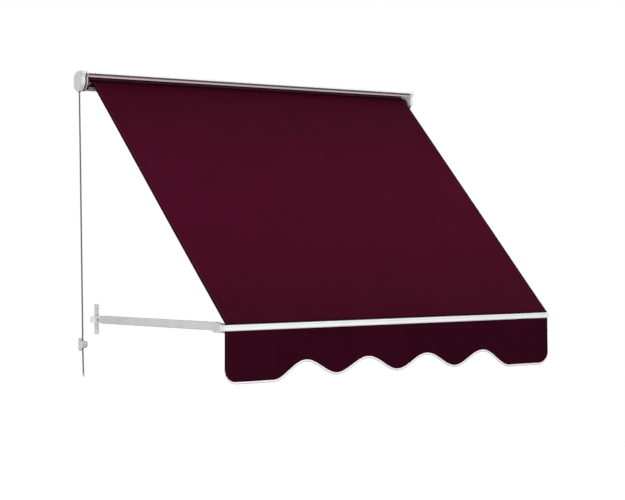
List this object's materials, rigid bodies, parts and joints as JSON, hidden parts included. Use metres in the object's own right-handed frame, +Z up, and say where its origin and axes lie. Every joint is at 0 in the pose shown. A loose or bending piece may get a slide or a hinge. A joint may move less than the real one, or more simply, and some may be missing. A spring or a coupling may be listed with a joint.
{
  "type": "window awning",
  "caption": "Drop arm window awning: slim roller head, sloping cloth canopy, two pivoting arms, front bar with a scalloped valance, and a pull cord with a cam lock.",
  "frame": {"origin": "on the back of the head extrusion, half way along it, level with the middle of its end covers", "axes": "+X along the width towards the viewer's right, +Y into the wall, +Z up; the canopy reaches out along -Y"},
  "size_m": [1.2622, 0.683, 0.8765],
  "materials": {
    "white_coat": "white powder coat, semi gloss",
    "pale_moulding": "pale grey moulded plastic",
    "mill_aluminium": "mill finish tube",
    "zinc_steel": "bright zinc plate",
    "dark_nylon": "dark nylon",
    "canopy_cloth": "dark wine red coated woven cloth",
    "valance_cloth": "the same cloth hanging in its own shade",
    "white_braid": "white woven edge braid",
    "grey_cord": "braided polyester cord"
  },
  "bodies": {
    "frame": {"hood_profile": "white_coat", "end_bracket_left": "pale_moulding", "end_bracket_right": "pale_moulding", "end_cover_left": "pale_moulding", "end_cover_right": "pale_moulding", "cover_screw_left_front": "zinc_steel", "cover_screw_left_rear": "zinc_steel", "cover_screw_right_front": "zinc_steel", "cover_screw_right_rear": "zinc_steel", "bush_left": "dark_nylon", "bush_right": "dark_nylon", "cord_outlet": "dark_nylon", "wall_plate_left": "white_coat", "wall_plate_right": "white_coat", "pivot_bolt_left": "zinc_steel", "pivot_bolt_right": "zinc_steel", "pivot_nut_left": "zinc_steel", "pivot_nut_right": "zinc_steel", "lock_base": "pale_moulding", "lock_housing": "pale_moulding", "lock_pin": "zinc_steel", "pull_cord": "grey_cord", "cord_ferrule": "pale_moulding", "canopy_cloth": "canopy_cloth"},
    "roller": {"roller_tube": "mill_aluminium", "cloth_roll": "canopy_cloth", "roller_plug_left": "dark_nylon", "roller_plug_right": "dark_nylon", "cord_drum": "pale_moulding", "cord_winding": "grey_cord"},
    "left_arm": {"arm_tube_left": "white_coat", "rear_fitting_left": "pale_moulding", "front_knuckle_left": "pale_moulding", "front_pin_left": "zinc_steel"},
    "right_arm": {"arm_tube_right": "white_coat", "rear_fitting_right": "pale_moulding", "front_knuckle_right": "pale_moulding", "front_pin_right": "zinc_steel"},
    "front_bar": {"front_bar": "white_coat", "bar_cap_left": "white_coat", "bar_cap_right": "white_coat", "bar_lug_left": "pale_moulding", "bar_lug_right": "pale_moulding", "canopy_bead": "canopy_cloth", "valance_bead": "valance_cloth", "valance": "valance_cloth", "valance_binding": "white_braid", "lug_rivet_left_first": "mill_aluminium", "lug_rivet_left_second": "mill_aluminium", "lug_rivet_right_first": "mill_aluminium", "lug_rivet_right_second": "mill_aluminium"},
    "lock_cam": {"lock_cam": "dark_nylon"}
  },
  "joints": [
    {"name": "left_arm_swing", "type": "hinge", "parent": "frame", "child": "left_arm", "pos_m": [-0.5673, -0.024, -0.6827], "axis": [-1, 0, 0], "range_deg": [0, 88.1], "deforming": ["canopy_cloth"]},
    {"name": "right_arm_swing", "type": "hinge", "parent": "frame", "child": "right_arm", "pos_m": [0.5673, -0.024, -0.6827], "axis": [-1, 0, 0], "range_deg": [0, 88.1]},
    {"name": "front_bar_hinge", "type": "hinge", "parent": "left_arm", "child": "front_bar", "pos_m": [-0.5673, -0.648, -0.685], "axis": [-1, 0, 0], "range_deg": [-88.1, 0]},
    {"name": "roller_spin", "type": "hinge", "parent": "frame", "child": "roller", "pos_m": [0, -0.02, -0.006], "axis": [-1, 0, 0], "range_deg": [0, 4250]},
    {"name": "lock_cam_turn", "type": "hinge", "parent": "frame", "child": "lock_cam", "pos_m": [-0.621, -0.0205, -0.7535], "axis": [1, 0, 0], "range_deg": [0, 25]}
  ],
  "couplings": [
    {"joint": "right_arm_swing", "follows": "left_arm_swing", "ratio": 1},
    {"joint": "front_bar_hinge", "follows": "left_arm_swing", "ratio": -1},
    {"joint": "roller_spin", "follows": "left_arm_swing", "ratio": 48.2}
  ]
}
